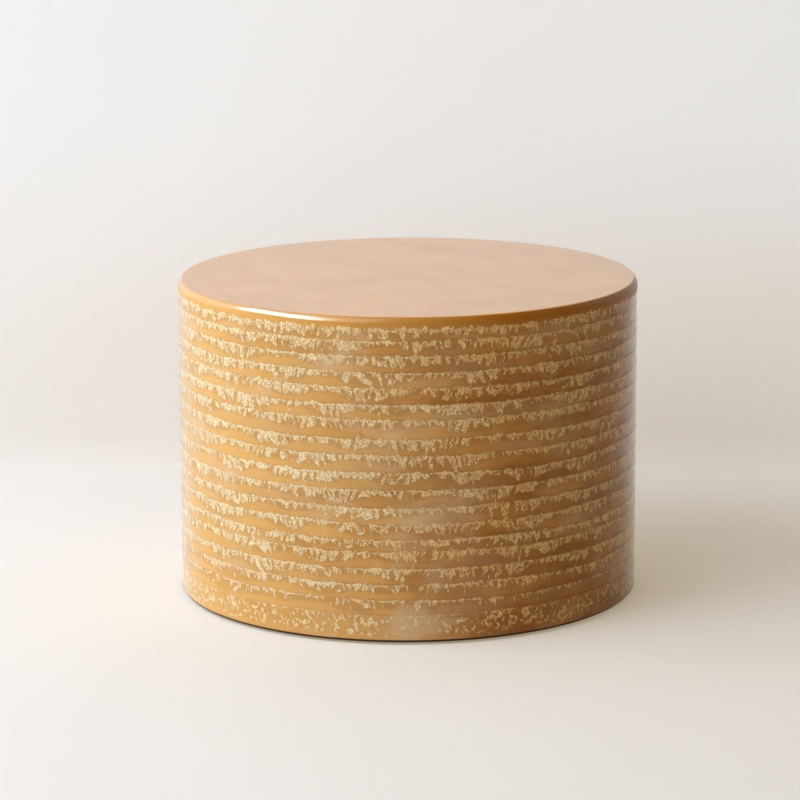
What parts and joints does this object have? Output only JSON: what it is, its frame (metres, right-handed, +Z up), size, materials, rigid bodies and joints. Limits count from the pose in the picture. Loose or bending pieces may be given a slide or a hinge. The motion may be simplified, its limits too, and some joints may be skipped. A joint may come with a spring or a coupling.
{
  "type": "drum stool",
  "caption": "Low round drum stool of glazed ceramic with a flat top, a rounded rim and a banded wall, hollow inside and open underneath.",
  "frame": {"origin": "on the floor, at the middle of the drum", "axes": "+Z up along the drum's axis, -Y towards the picture's viewer"},
  "size_m": [0.6, 0.6, 0.415],
  "materials": {
    "rim_and_top_glaze": "smooth glossy amber glaze with faint paler clouds",
    "banded_glaze": "glossy amber glaze over rows of ragged cream flecks",
    "bare_clay": "unglazed fired clay, matt and slightly gritty",
    "pad_rubber": "matt dark rubber"
  },
  "bodies": {
    "root": {"top_slab": "rim_and_top_glaze", "drum_wall": "banded_glaze", "base_ring": "bare_clay", "upper_seam_coil": "bare_clay", "lower_seam_coil": "bare_clay", "foot_pad_1": "pad_rubber", "foot_pad_2": "pad_rubber", "foot_pad_3": "pad_rubber", "foot_pad_4": "pad_rubber", "foot_pad_5": "pad_rubber", "foot_pad_6": "pad_rubber"}
  },
  "joints": []
}
